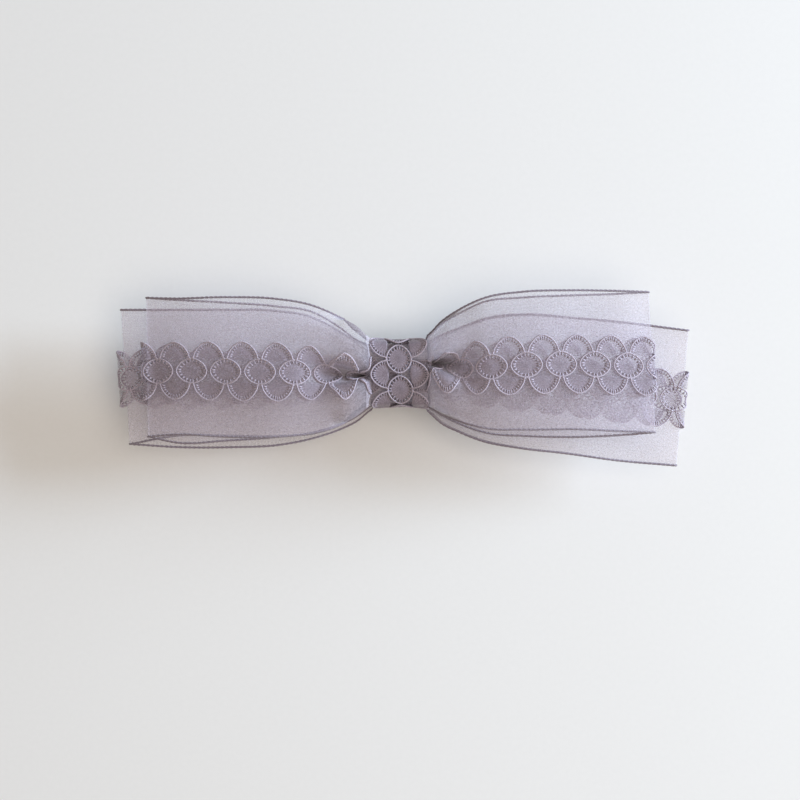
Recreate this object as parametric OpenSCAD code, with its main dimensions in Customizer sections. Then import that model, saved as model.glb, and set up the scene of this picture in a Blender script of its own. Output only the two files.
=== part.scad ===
// Organza hair bow with lace trim on a spring barrette.
// Lengths in millimetres. +X runs along the bow, +Y across it, +Z away from the hair.
// The bow's face is up, and the closed barrette under it stands on the plane z = 0.

/* [Ribbon] */
// Width of the organza ribbon
ribbon_w = 38; // [30:1:42]
// Thickness of the folded organza with its sizing
ribbon_t = 0.3; // [0.2:0.05:0.4]
// Radius of the pressed fold at the end of each loop
fold_r = 0.8; // [0.6:0.1:1.2]
// Diameter of the thread that binds the ribbon's edges
edging_d = 0.6; // [0.4:0.1:0.8]

/* [Front loops] */
// Reach of the left front loop from the knot
front_left = 70.4; // [55:0.1:85]
// Reach of the right front loop from the knot
front_right = 69.9; // [55:0.1:85]
// Upward tilt of the left front loop, in degrees
front_left_tilt = 1.5; // [-4:0.1:4]
// Upward tilt of the right front loop, in degrees
front_right_tilt = 2.5; // [-4:0.1:4]
// How far the left fold's upper corner reaches past its lower one
front_left_lean = 0.5; // [-4:0.1:4]
// How far the right fold's upper corner reaches past its lower one
front_right_lean = -1.8; // [-4:0.1:4]
// Swell of the front loops' upper face
front_puff = 6.6; // [4:0.1:8]

/* [Back loops] */
// Reach of the left back loop from the knot
back_left = 76.9; // [60:0.1:90]
// Reach of the right back loop from the knot
back_right = 78.4; // [60:0.1:90]
// Upward tilt of the left back loop, in degrees
back_left_tilt = -0.7; // [-6:0.1:4]
// Upward tilt of the right back loop, in degrees
back_right_tilt = -5.1; // [-6:0.1:4]
// How far the left fold's upper corner reaches past its lower one
back_left_lean = 2.5; // [-4:0.1:4]
// How far the right fold's upper corner reaches past its lower one
back_right_lean = 3.4; // [-4:0.1:4]
// Swell of the back loops' upper face
back_puff = 3.4; // [3:0.1:6]

/* [Lace] */
// Width of the lace trim
lace_w = 16.4; // [12:0.1:18]
// Thickness of the lace trim
lace_t = 0.5; // [0.3:0.05:0.55]

/* [Knot] */
// Length of the knot along the bow
knot_l = 15.8; // [12:0.1:20]
// Half the width of the gathered ribbon inside the knot
waist_half = 7.9; // [7:0.1:8.2]
// Height of the pleats inside the knot
pleat_h = 1.4; // [0.8:0.1:1.5]
// Height that the two lobes beside the knot gain over the valley between them
lobe_h = 2; // [0:0.1:3]
// Distance from the knot's middle at which the pleats have opened out
gather_reach = 29; // [22:1:36]
// Where the knot lies from the middle of the outline, along X
knot_x = -0.7; // [-3:0.05:3]
// Where the knot lies from the middle of the outline, along Y
knot_y = 2.2; // [-3:0.05:3]

/* [Barrette] */
// Length of the base plate along its chord
plate_l = 82; // [78:1:86]
// Width of the base plate
plate_w = 9.5; // [9:0.5:10]
// Thickness of the steel sheet of the plate and the clasp arm
steel_t = 0.8; // [0.6:0.1:0.9]
// Radius of the base plate's arch, at its underside
plate_r = 104; // [100:1:115]
// Height of the base plate's underside at its crown
plate_crown = 11.7; // [11.4:0.1:12.5]
// Radius of the two sewing holes
sewing_r = 0.9; // [0.7:0.05:1.1]
// Width of the clasp arm
arm_w = 6.5; // [5.5:0.5:7]
// Radius of the clasp arm's arch, at its underside
arm_r = 385; // [300:5:500]
// Height of the clasp arm's underside at its crown
arm_crown = 3.6; // [3.5:0.1:3.7]
// Radius of the hinge pin
pin_r = 0.75; // [0.6:0.05:0.85]
// Thickness of the tension bar
bar_t = 0.4; // [0.3:0.05:0.5]
// Width of the tension bar
bar_w = 5.5; // [4.5:0.5:6]

/* [Hidden] */
$fn = 48;

organza = [0.70, 0.66, 0.71];
lace_mauve = [0.57, 0.51, 0.57];
edge_grey = [0.42, 0.38, 0.42];
steel = [0.72, 0.72, 0.74];
spring_steel = [0.55, 0.56, 0.60];
glue_clear = [0.90, 0.88, 0.80];

touch = 0.02;            // gap between pieces that rest on each other
running = 0.05;          // radial clearance of a pin in its bore
trim = 1;                // how much larger a blank is than the outline it is cut to

// Heights of the ribbon's faces where the knot holds them.
back_low_z = plate_crown + steel_t + 1.15;
back_high_z = back_low_z + 1.5;
front_low_z = back_high_z + 1.75;
front_high_z = front_low_z + 1.5;
// Heights of the folds, from the table.
back_fold_z = 14.2;
front_fold_z = 18.2;
// Swell of the lower faces: the back one sags, the front one follows the loop under it.
back_sag = -0.9;
front_under = 4.2;

// A loop: [side, reach, tilt, lean]. A ring: [left loop, right loop, low, high, fold, low swell, high swell].
front_ring = [
    [-1, front_left, front_left_tilt, front_left_lean],
    [1, front_right, front_right_tilt, front_right_lean],
    front_low_z, front_high_z, front_fold_z, front_under, front_puff];
back_ring = [
    [-1, back_left, back_left_tilt, back_left_lean],
    [1, back_right, back_right_tilt, back_right_lean],
    back_low_z, back_high_z, back_fold_z, back_sag, back_puff];

face_steps = 9;          // stations along one face of a loop
fold_step = 45;          // degrees between stations round a fold
butt = 0.5;              // half the gap between the ribbon's two ends, under the knot
ribbon_cols = 8;         // facets across the ribbon
lace_cols = 4;           // facets across the lace
edging_sides = 6;
lace_gap = 0.05;
lace_lift = ribbon_t / 2 + lace_gap + lace_t / 2;
edging_out = (edging_d / 2 + 0.07) / (ribbon_w / 2);

// Share of the gathered stretch beside the knot that x has passed, and how far the pleats have
// opened there: 0 at the knot, 1 at its end, on a quarter of a sine.
function passed(x) = min(1, max(0, (x - knot_l / 2) / (gather_reach - knot_l / 2)));
function opened(x) = sin(90 * passed(x));
// A hump from 0 at s = 0 to 1 at s = 1/3 and flat into 0 at s = 1.
function swell(s) = 6.75 * s * (1 - s) * (1 - s);
function blend(a, b, s) = a + (b - a) * s * s * (3 - 2 * s);

// Half the ribbon's width at a distance x from the knot's middle.
function half_w(x) = waist_half + (ribbon_w / 2 - waist_half) * opened(x);
// Height that the pleats add at v, which runs from -1 to 1 across the ribbon.
function pleat(x, v) =
    (pleat_h * (1 - opened(x)) + lobe_h * 4 * passed(x) * (1 - passed(x))) * pow(sin(180 * v), 2);

// Stations [x, z] of one loop: out along its upper face, round the fold and back along its lower face.
function face_z(ring, high, s) =
    blend(high ? ring[3] : ring[2], ring[4] + (high ? fold_r : -fold_r), s)
    + (high ? ring[6] : ring[5]) * swell(s);
function face_x(reach, s) = knot_l / 2 + s * (reach - fold_r - knot_l / 2);
function loop_stations(ring, reach) = concat(
    [[0, ring[3]]],
    [for (i = [0 : face_steps - 1]) let (s = i / face_steps) [face_x(reach, s), face_z(ring, true, s)]],
    [for (a = [90 : -fold_step : -90])
        [reach - fold_r + fold_r * cos(a), ring[4] + fold_r * sin(a)]],
    [for (i = [face_steps - 1 : -1 : 0]) let (s = i / face_steps)
        [face_x(reach, s), face_z(ring, false, s)]],
    [[butt, ring[2]]]);
function reversed(list) = [for (i = [len(list) - 1 : -1 : 0]) list[i]];
function tail(list) = [for (i = [1 : len(list) - 1]) list[i]];

// The point of a loop at a station and at v across the ribbon.
function on_loop(loop, station, v) =
    let (x = station[0], out = max(0, x - knot_l / 2))
    [loop[0] * (x + loop[3] / 2 * v * x / loop[1]),
        v * half_w(x) + tan(loop[2]) * out,
        station[1] + pleat(x, v)];

// Rows of points round the whole ring, one row for each station.
function ring_rows(ring, vs) = concat(
    [for (st = reversed(loop_stations(ring, ring[1][1]))) [for (v = vs) on_loop(ring[1], st, v)]],
    [for (st = tail(loop_stations(ring, ring[0][1]))) [for (v = vs) on_loop(ring[0], st, v)]]);

function unit(a) = a / norm(a);
function pick(list, i) = list[min(len(list) - 1, max(0, i))];
// Outward direction of the surface at row i, column j.
function outward(rows, i, j) = unit(cross(
    pick(rows[i], j + 1) - pick(rows[i], j - 1),
    pick(rows, i + 1)[j] - pick(rows, i - 1)[j]));
function lifted(rows, by) = [for (i = [0 : len(rows) - 1])
    [for (j = [0 : len(rows[i]) - 1]) rows[i][j] + by * outward(rows, i, j)]];

function flat_list(rows) = [for (row = rows) each row];
function halves(q) = [[q[0], q[1], q[2]], [q[0], q[2], q[3]]];

// A sheet of thickness t whose middle surface passes through the rows of points.
module sheet(rows, t) {
    n = len(rows);
    m = len(rows[0]);
    under = n * m;
    quads = concat(
        [for (i = [0 : n - 2]) for (j = [0 : m - 2]) let (a = i * m + j) [a, a + m, a + m + 1, a + 1]],
        [for (i = [0 : n - 2]) for (j = [0 : m - 2]) let (a = under + i * m + j)
            [a, a + 1, a + m + 1, a + m]],
        [for (i = [0 : n - 2]) let (a = i * m) [a, under + a, under + a + m, a + m]],
        [for (i = [0 : n - 2]) let (a = i * m + m - 1) [a, a + m, under + a + m, under + a]],
        [for (j = [0 : m - 2]) [j, j + 1, under + j + 1, under + j]],
        [for (j = [0 : m - 2]) let (a = (n - 1) * m + j) [a, under + a, under + a + 1, a + 1]]);
    polyhedron(
        concat(flat_list(lifted(rows, t / 2)), flat_list(lifted(rows, -t / 2))),
        [for (q = quads) each halves(q)], convexity = 8);
}

// A thread of diameter d along the middle column of rows that are three columns wide.
module thread(rows, d) {
    n = len(rows);
    sides = edging_sides;
    rings = [for (i = [0 : n - 1]) let (up = outward(rows, i, 1), across = unit(rows[i][2] - rows[i][0]))
        [for (k = [0 : sides - 1]) let (a = 360 * k / sides)
            rows[i][1] + d / 2 * (cos(a) * up + sin(a) * across)]];
    walls = [for (i = [0 : n - 2]) for (k = [0 : sides - 1])
        let (a = i * sides + k, b = i * sides + (k + 1) % sides) [a, a + sides, b + sides, b]];
    polyhedron(
        flat_list(rings),
        concat([for (q = walls) each halves(q)],
            [[for (k = [0 : sides - 1]) k], [for (k = [sides - 1 : -1 : 0]) (n - 1) * sides + k]]),
        convexity = 8);
}

module at_knot() {
    translate([knot_x, knot_y, 0]) children();
}

module ribbon(ring) {
    color(organza) at_knot()
        sheet(ring_rows(ring, [for (j = [0 : ribbon_cols]) 2 * j / ribbon_cols - 1]), ribbon_t);
}

module lace(ring) {
    half = lace_w / ribbon_w;
    color(lace_mauve) at_knot()
        sheet(lifted(ring_rows(ring, [for (j = [0 : lace_cols]) half * (2 * j / lace_cols - 1)]), lace_lift),
            lace_t);
}

module edging(ring, side) {
    mid = side * (1 + edging_out);
    color(edge_grey) at_knot()
        thread(ring_rows(ring, [mid - edging_out, mid, mid + edging_out]), edging_d);
}

module front_ribbon() ribbon(front_ring);
module back_ribbon() ribbon(back_ring);
module front_lace() lace(front_ring);
module back_lace() lace(back_ring);
module front_edging_upper() edging(front_ring, 1);
module front_edging_lower() edging(front_ring, -1);
module back_edging_upper() edging(back_ring, 1);
module back_edging_lower() edging(back_ring, -1);

// Outline of the bundle that the knot holds, grown by a margin.
bundle_top = front_high_z + pleat_h + lace_lift + lace_t / 2;
bundle_low = plate_crown + steel_t + 0.55;
bundle_half = waist_half + edging_d + 0.1;
shoulder_r = 2.4;
hip_r = 1.1;
round_fn = 24;
module bundle_outline(margin) {
    hull() for (side = [-1, 1]) {
        translate([side * (bundle_half - shoulder_r), bundle_top - shoulder_r])
            circle(shoulder_r + margin, $fn = round_fn);
        translate([side * (bundle_half - hip_r), bundle_low + hip_r])
            circle(hip_r + margin, $fn = round_fn);
    }
}
thread_t = 0.35;
module gather_thread() {
    turns = 3;
    pitch = 0.8;
    color(edge_grey) at_knot() for (k = [0 : turns - 1])
        translate([(k - (turns - 1) / 2) * pitch - thread_t / 2, 0, 0])
            rotate([90, 0, 90]) linear_extrude(thread_t) difference() {
                bundle_outline(0.05 + thread_t);
                bundle_outline(0.05);
            }
}

wrap_t = 0.5;
wrap_in = 0.05 + thread_t + 0.07;
module wrap_outline(margin) {
    corner_r = 0.4;
    hull() {
        bundle_outline(margin);
        for (side = [-1, 1])
            translate([side * (plate_w / 2 - 0.2), plate_crown - 0.1])
                circle(corner_r + margin - wrap_in, $fn = round_fn);
    }
}
module knot_wrap() {
    color(lace_mauve) at_knot()
        translate([-knot_l / 2, 0, 0]) rotate([90, 0, 90]) linear_extrude(knot_l) difference() {
            wrap_outline(wrap_in + wrap_t);
            wrap_outline(wrap_in);
        }
}

module wrap_stitches() {
    count = 5;
    pitch = 2.4;
    length = 1.5;
    r = 0.2;
    color(edge_grey) at_knot() for (k = [0 : count - 1])
        translate([(k - (count - 1) / 2) * pitch - length / 2,
            -(bundle_half + wrap_in + wrap_t + r + touch), bundle_low + hip_r + 0.8])
            rotate([0, 90, 0]) cylinder(h = length, r = r);
}

// Barrette. The plate, the bar and the arm are arcs about axes along Y.
hinge_x = -34;
hinge_z = 1.6;
latch_x = 34.5;
ear_r = 1.6;
ear_in = plate_w / 2 - steel_t;
trunnion_x = -30.5;
trunnion_z = 5.6;
trunnion_r = 0.55;
bar_crown = plate_crown - 1.6;
bar_drop = bar_crown + bar_t / 2 - trunnion_z;
bar_r = (trunnion_x * trunnion_x + bar_drop * bar_drop) / (2 * bar_drop) - bar_t / 2;
bar_end = 28;

// Height of an arc of radius r and crown height at a distance x from its crown.
function arc_z(r, crown, x) = crown - r + sqrt(r * r - x * x);

// A strip of width w and thickness t on an arc, from x0 to x1, with its underside's crown at a height.
module arched(r, crown, w, t, x0, x1) {
    from = 90 - asin(x1 / r);
    translate([0, 0, crown - r]) rotate([90, 0, 0]) rotate([0, 0, from])
        rotate_extrude(angle = asin(x1 / r) - asin(x0 / r), $fn = 360) translate([r, -w / 2]) square([t, w]);
}

module across(x, z, r, w) {
    translate([x, w / 2, z]) rotate([90, 0, 0]) cylinder(h = w, r = r);
}

module base_plate() {
    tip_r = plate_w / 2;
    reach = plate_l / 2;
    hole_x = reach - 2.6;
    color(steel) at_knot() difference() {
        union() {
            intersection() {
                arched(plate_r, plate_crown, plate_w + trim, steel_t, -reach - trim, reach + trim);
                linear_extrude(2 * plate_crown) union() {
                    square([2 * (reach - tip_r), plate_w], center = true);
                    for (side = [-1, 1]) translate([side * (reach - tip_r), 0]) circle(tip_r);
                }
            }
            for (y = [-plate_w / 2, ear_in]) translate([0, y + steel_t, 0]) rotate([90, 0, 0])
                linear_extrude(steel_t) union() {
                    translate([hinge_x, hinge_z]) circle(ear_r);
                    polygon([
                        [hinge_x - ear_r, hinge_z], [hinge_x + ear_r, hinge_z],
                        [trunnion_x + 1.7, trunnion_z - 0.6],
                        [trunnion_x + 1.7, arc_z(plate_r, plate_crown, trunnion_x + 1.7) + 0.3],
                        [hinge_x - ear_r, arc_z(plate_r, plate_crown, hinge_x - ear_r) + 0.3]]);
                }
        }
        for (side = [-1, 1]) translate([side * hole_x, 0, 0]) cylinder(h = plate_crown, r = sewing_r);
        across(hinge_x, hinge_z, pin_r + touch, 2 * plate_w);
        across(trunnion_x, trunnion_z, trunnion_r + running, 2 * plate_w);
        for (x = rivet_xs) translate([x, 0, 0]) cylinder(h = 2 * plate_crown, r = rivet_r + touch);
    }
}

module hinge_pin() {
    head_r = 1.25;
    head_t = 0.45;
    color(steel) at_knot() union() {
        across(hinge_x, hinge_z, pin_r, plate_w + 2 * head_t);
        for (side = [-1, 1]) translate([0, side * (plate_w / 2 + head_t / 2 + touch), 0])
            across(hinge_x, hinge_z, head_r, head_t);
    }
}

// The latch: a strip riveted under the plate, with a tab on each side that a prong springs from.
bracket_t = 0.6;
bracket_x0 = 30.4;
bracket_x1 = 39;
rivet_xs = [31.6];
rivet_r = 0.6;
prong_l = 3;
prong_t = 0.6;
prong_y = 2.4;           // inner face of a prong
prong_top = 4.4;
tab_gap = 0.12;
module latch_bracket() {
    color(spring_steel) at_knot() difference() {
        union() {
            arched(plate_r - bracket_t - touch, plate_crown - bracket_t - touch, 2 * (prong_y + prong_t),
                bracket_t, bracket_x0, bracket_x1 - 1.5);
            for (y = [-prong_y - prong_t, prong_y])
                translate([latch_x - prong_l / 2, y, prong_top + tab_gap])
                    cube([prong_l, prong_t, arc_z(plate_r, plate_crown, latch_x + prong_l / 2)
                        - prong_top - tab_gap - bracket_t / 2]);
        }
        for (x = rivet_xs) translate([x, 0, 0]) cylinder(h = plate_crown, r = rivet_r + touch);
    }
}

module bracket_rivets() {
    head_r = 1.1;
    head_t = 0.45;
    color(steel) at_knot() for (x = rivet_xs) {
        low = arc_z(plate_r, plate_crown, x + head_r) - bracket_t - 0.1;
        high = arc_z(plate_r, plate_crown, x - head_r) + steel_t + 0.1;
        translate([x, 0, low - head_t]) cylinder(h = head_t, r = head_r);
        translate([x, 0, low - head_t]) cylinder(h = high - low + 2 * head_t, r = rivet_r);
        translate([x, 0, high]) cylinder(h = head_t, r = head_r);
    }
}

module prong(side) {
    hook_r = 0.4;
    hook_z = 1.2;
    color(spring_steel) at_knot() translate([latch_x - prong_l / 2, 0, 0]) union() {
        translate([0, side > 0 ? prong_y : -prong_y - prong_t, 0]) cube([prong_l, prong_t, prong_top]);
        translate([0, side * (prong_y + prong_t - 0.05), hook_z]) rotate([0, 90, 0])
            cylinder(h = prong_l, r = hook_r);
    }
}
module latch_prong_upper() prong(1);
module latch_prong_lower() prong(-1);

module clasp_arm() {
    barrel_r = 1.4;
    barrel_w = 2 * (ear_in - 0.25);
    head_r = 4.9;
    head_x = latch_x + 0.3;
    window_l = 4.6;
    window_half = 3.5;
    color(steel) at_knot() difference() {
        union() {
            intersection() {
                arched(arm_r, arm_crown, 2 * head_r + trim, steel_t, hinge_x - trim, head_x + head_r + trim);
                linear_extrude(2 * plate_crown) union() {
                    translate([hinge_x, -arm_w / 2]) square([head_x - hinge_x, arm_w]);
                    translate([head_x - 2.6, -head_r]) square([2.6, 2 * head_r]);
                    translate([head_x, 0]) circle(head_r);
                }
            }
            across(hinge_x, hinge_z, barrel_r, barrel_w);
        }
        across(hinge_x, hinge_z, pin_r + running, 2 * plate_w);
        translate([latch_x - window_l / 2, -window_half, 0]) cube([window_l, 2 * window_half, plate_crown]);
    }
}

module tension_bar() {
    curl_r = 0.5;
    color(spring_steel) at_knot() union() {
        arched(bar_r, bar_crown, bar_w, bar_t, trunnion_x, bar_end);
        across(trunnion_x, trunnion_z, trunnion_r, plate_w - 0.1);
        across(bar_end, arc_z(bar_r, bar_crown, bar_end) + bar_t / 2, curl_r, bar_w);
    }
}

// Two beads of glue between the plate and the lace under the bow.
module glue_beads() {
    bead_r = 2.6;
    bead_x = 13.5;
    bead_top = bundle_low - 0.35;
    color(glue_clear) at_knot() for (side = [-1, 1]) difference() {
        translate([side * bead_x, 0, plate_crown - 1]) cylinder(h = bead_top - plate_crown + 1, r = bead_r);
        across(0, plate_crown - plate_r, plate_r + steel_t + touch, 2 * plate_w, $fn = 360);
    }
}

base_plate();
hinge_pin();
latch_bracket();
bracket_rivets();
latch_prong_upper();
latch_prong_lower();
clasp_arm();
tension_bar();
glue_beads();
back_ribbon();
back_edging_upper();
back_edging_lower();
back_lace();
front_ribbon();
front_edging_upper();
front_edging_lower();
front_lace();
gather_thread();
knot_wrap();
wrap_stitches();
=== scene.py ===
"""Organza hair bow with lace trim, built round its packed barrette.

The bow is two ribbons, each a ring pinched at the knot, so that it gives two flat loops. A ribbon is a
surface worked out from its cross-sections; the lace, the bound edges and the knot are laid on such
surfaces. Working lengths are in millimetres from the knot's middle, turned to metres by Place.
"""

import logging
import math
from dataclasses import dataclass, field
from enum import Enum

import bpy
import numpy as np
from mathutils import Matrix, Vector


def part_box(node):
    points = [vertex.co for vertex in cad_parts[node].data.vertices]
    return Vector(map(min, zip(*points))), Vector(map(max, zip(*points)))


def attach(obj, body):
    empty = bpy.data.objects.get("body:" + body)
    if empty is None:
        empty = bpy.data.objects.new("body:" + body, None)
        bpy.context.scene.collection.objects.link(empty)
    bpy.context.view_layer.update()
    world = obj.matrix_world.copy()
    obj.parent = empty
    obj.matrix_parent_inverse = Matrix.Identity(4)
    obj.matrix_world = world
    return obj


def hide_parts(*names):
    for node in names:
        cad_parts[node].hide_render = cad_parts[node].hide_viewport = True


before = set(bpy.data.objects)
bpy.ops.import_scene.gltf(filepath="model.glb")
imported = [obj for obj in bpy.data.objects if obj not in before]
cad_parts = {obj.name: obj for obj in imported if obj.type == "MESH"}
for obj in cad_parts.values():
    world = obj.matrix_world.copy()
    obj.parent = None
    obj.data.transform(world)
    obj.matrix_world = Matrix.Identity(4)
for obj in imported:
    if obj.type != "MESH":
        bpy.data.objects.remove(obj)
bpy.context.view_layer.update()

MM = 0.001
TAU = 2 * math.pi
PLEAT_SHADE_POWER = 0.45  # painted shade: colour falls with the number of layers that pleats lay over one another, to this power, for the shade deep in gathers and creases
Array = np.ndarray
Socket = bpy.types.NodeSocket
log = logging.getLogger("hair_bow")


# ---- meshes


def grid_quads(rows: int, cols: int, round_rows: bool = False, round_cols: bool = False) -> Array:
    """The quads of a grid of points numbered row by row.

    Args:
        rows: Number of rows.
        cols: Number of columns.
        round_rows: Whether the last row joins the first.
        round_cols: Whether the last column joins the first.

    Returns:
        An array of point numbers, four to a quad, in the order row, next column, both, next row.
    """
    i = np.arange(rows if round_rows else rows - 1)[:, None]
    j = np.arange(cols if round_cols else cols - 1)[None, :]
    down, right = (i + 1) % rows, (j + 1) % cols
    corners = (i * cols + j, i * cols + right, down * cols + right, down * cols + j)
    return np.stack([np.broadcast_to(c, (i.size, j.size)) for c in corners], axis=-1).reshape(-1, 4)


def tube_quads(rings: int, sides: int, closed: bool = False) -> Array:
    """The quads of a tube whose points are numbered ring by ring, with both ends capped unless it is closed.

    Args:
        rings: Number of rings.
        sides: Points in a ring, an even number.
        closed: Whether the last ring joins the first.

    Returns:
        An array of point numbers, four to a quad.
    """
    walls = grid_quads(rings, sides, round_rows=closed, round_cols=True)
    if closed:
        return walls
    k = np.arange((sides - 2) // 2)
    cap = np.stack([k, k + 1, sides - 2 - k, sides - 1 - k], axis=-1)
    return np.concatenate([walls, cap[:, ::-1], cap + (rings - 1) * sides])


def unit(vectors: Array) -> Array:
    """Vectors scaled to length 1 along their last axis."""
    return vectors / np.maximum(np.linalg.norm(vectors, axis=-1, keepdims=True), 1e-12)


def ease(low: float, high: float, x: Array) -> Array:
    """0 below low, 1 above high, and 3t^2 - 2t^3 between."""
    t = np.clip((np.asarray(x, float) - low) / (high - low), 0, 1)
    return t * t * (3 - 2 * t)


def through(at: tuple, values: tuple, x: Array) -> Array:
    """A smooth curve through values given at stations: cubic Hermite pieces with central slopes."""
    at, values = np.array(at, float), np.array(values, float)
    slopes = np.gradient(values, at)
    i = np.clip(np.searchsorted(at, x) - 1, 0, len(at) - 2)
    h = at[i + 1] - at[i]
    t = (x - at[i]) / h
    return (
        (2 * t**3 - 3 * t**2 + 1) * values[i] + (t**3 - 2 * t**2 + t) * h * slopes[i]
        + (3 * t**2 - 2 * t**3) * values[i + 1] + (t**3 - t**2) * h * slopes[i + 1])


def new_piece(
    name: str,
    points: Array,
    quads: Array,
    material: bpy.types.Material,
    laid: Array | None = None,
    **marks: Array,
) -> bpy.types.Object:
    """Makes a smooth mesh object at the origin.

    Args:
        name: The piece's name.
        points: Its points, in metres.
        quads: Point numbers, four to a face.
        material: Its material.
        laid: For each point, its place on the flat cloth or along the thread, in millimetres.
        marks: Numbers for each point, by attribute: tone is how light a thread is, about 1, with
            painted highlight and painted shade in it; layers is how many layers of cloth a look straight down
            meets; pleats is how many layers the pleats lay over one another, which also darkens the
            colour as painted shade; dense is what share of the light stitches stop.

    Returns:
        The object, linked to the scene.
    """
    mesh = bpy.data.meshes.new(name)
    mesh.vertices.add(len(points))
    mesh.vertices.foreach_set("co", np.ascontiguousarray(points, np.float32).ravel())
    mesh.loops.add(quads.size)
    mesh.loops.foreach_set("vertex_index", np.ascontiguousarray(quads, np.int32).ravel())
    mesh.polygons.add(len(quads))
    mesh.polygons.foreach_set("loop_start", np.arange(0, quads.size, 4, dtype=np.int32))
    mesh.polygons.foreach_set("use_smooth", np.ones(len(quads), bool))
    if laid is not None:
        layer = mesh.attributes.new("laid", "FLOAT_VECTOR", "POINT")
        layer.data.foreach_set("vector", np.ascontiguousarray(laid, np.float32).ravel())
    for mark, values in marks.items():
        layer = mesh.attributes.new(mark, "FLOAT", "POINT")
        layer.data.foreach_set("value", np.ascontiguousarray(values, np.float32).ravel())
    mesh.update(calc_edges=True)
    mesh.validate()
    mesh.materials.append(material)
    piece = bpy.data.objects.new(name, mesh)
    bpy.context.scene.collection.objects.link(piece)
    return piece


def sew_on(piece: bpy.types.Object, slot: str, node: str) -> None:
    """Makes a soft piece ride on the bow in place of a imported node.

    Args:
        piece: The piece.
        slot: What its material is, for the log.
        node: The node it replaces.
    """
    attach(piece, "bow")
    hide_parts(node)
    log.info("%s: %s, in place of %s", piece.name, slot, node)


class Cloth:
    """A cloth surface on a grid of points, with rows along its length and columns across its width."""

    def __init__(self, points: Array, width: float) -> None:
        """Keeps the grid and works out its normals and its length.

        Args:
            points: Rows by columns of points, in millimetres.
            width: The flat width that the columns span.
        """
        self.points = points
        self.width = width
        self.pleats = np.ones(points.shape[:2])
        along = np.gradient(points, axis=0)
        across = np.gradient(points, axis=1)
        self.normals = unit(np.cross(across, along))
        self.across = unit(across)
        steps = np.linalg.norm(np.diff(points, axis=0), axis=2).mean(axis=1)
        self.run = np.concatenate([[0.0], np.cumsum(steps)])
        self.length = float(self.run[-1])

    def sample(self, grid: Array, along: Array, across: Array) -> Array:
        """Values of a grid between its points, straight in both directions.

        Args:
            grid: Rows by columns of vectors.
            along: Distances along the cloth, in millimetres.
            across: Distances from its middle line, in millimetres.

        Returns:
            One vector for each pair of distances.
        """
        rows, cols = grid.shape[:2]
        r = np.interp(along, self.run, np.arange(rows))
        c = np.clip((across / self.width + 0.5) * (cols - 1), 0, cols - 1)
        r0 = np.minimum(r.astype(int), rows - 2)
        c0 = np.minimum(c.astype(int), cols - 2)
        fr, fc = (r - r0)[..., None], (c - c0)[..., None]
        near = grid[r0, c0] * (1 - fc) + grid[r0, c0 + 1] * fc
        far = grid[r0 + 1, c0] * (1 - fc) + grid[r0 + 1, c0 + 1] * fc
        return near * (1 - fr) + far * fr

    def place(self, laid: Array) -> Array:
        """Takes points that are laid out flat to where they lie on the cloth.

        Args:
            laid: Points as distance along, distance across and height over the cloth.

        Returns:
            The points, in millimetres.
        """
        on = self.sample(self.points, laid[..., 0], laid[..., 1])
        up = unit(self.sample(self.normals, laid[..., 0], laid[..., 1]))
        return on + laid[..., 2:3] * up


@dataclass(frozen=True)
class Place:
    """Where the knot's middle is in the frame, in metres."""

    x: float
    y: float

    @classmethod
    def from_frame(cls) -> "Place":
        """The middle of the knot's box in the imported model."""
        low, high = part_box("knot_wrap")
        return cls((low[0] + high[0]) / 2, (low[1] + high[1]) / 2)

    def metres(self, points: Array) -> Array:
        """Points from millimetres round the knot to metres in the frame."""
        return points.reshape(-1, 3) * MM + np.array([self.x, self.y, 0.0])


# ---- finishes


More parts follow.
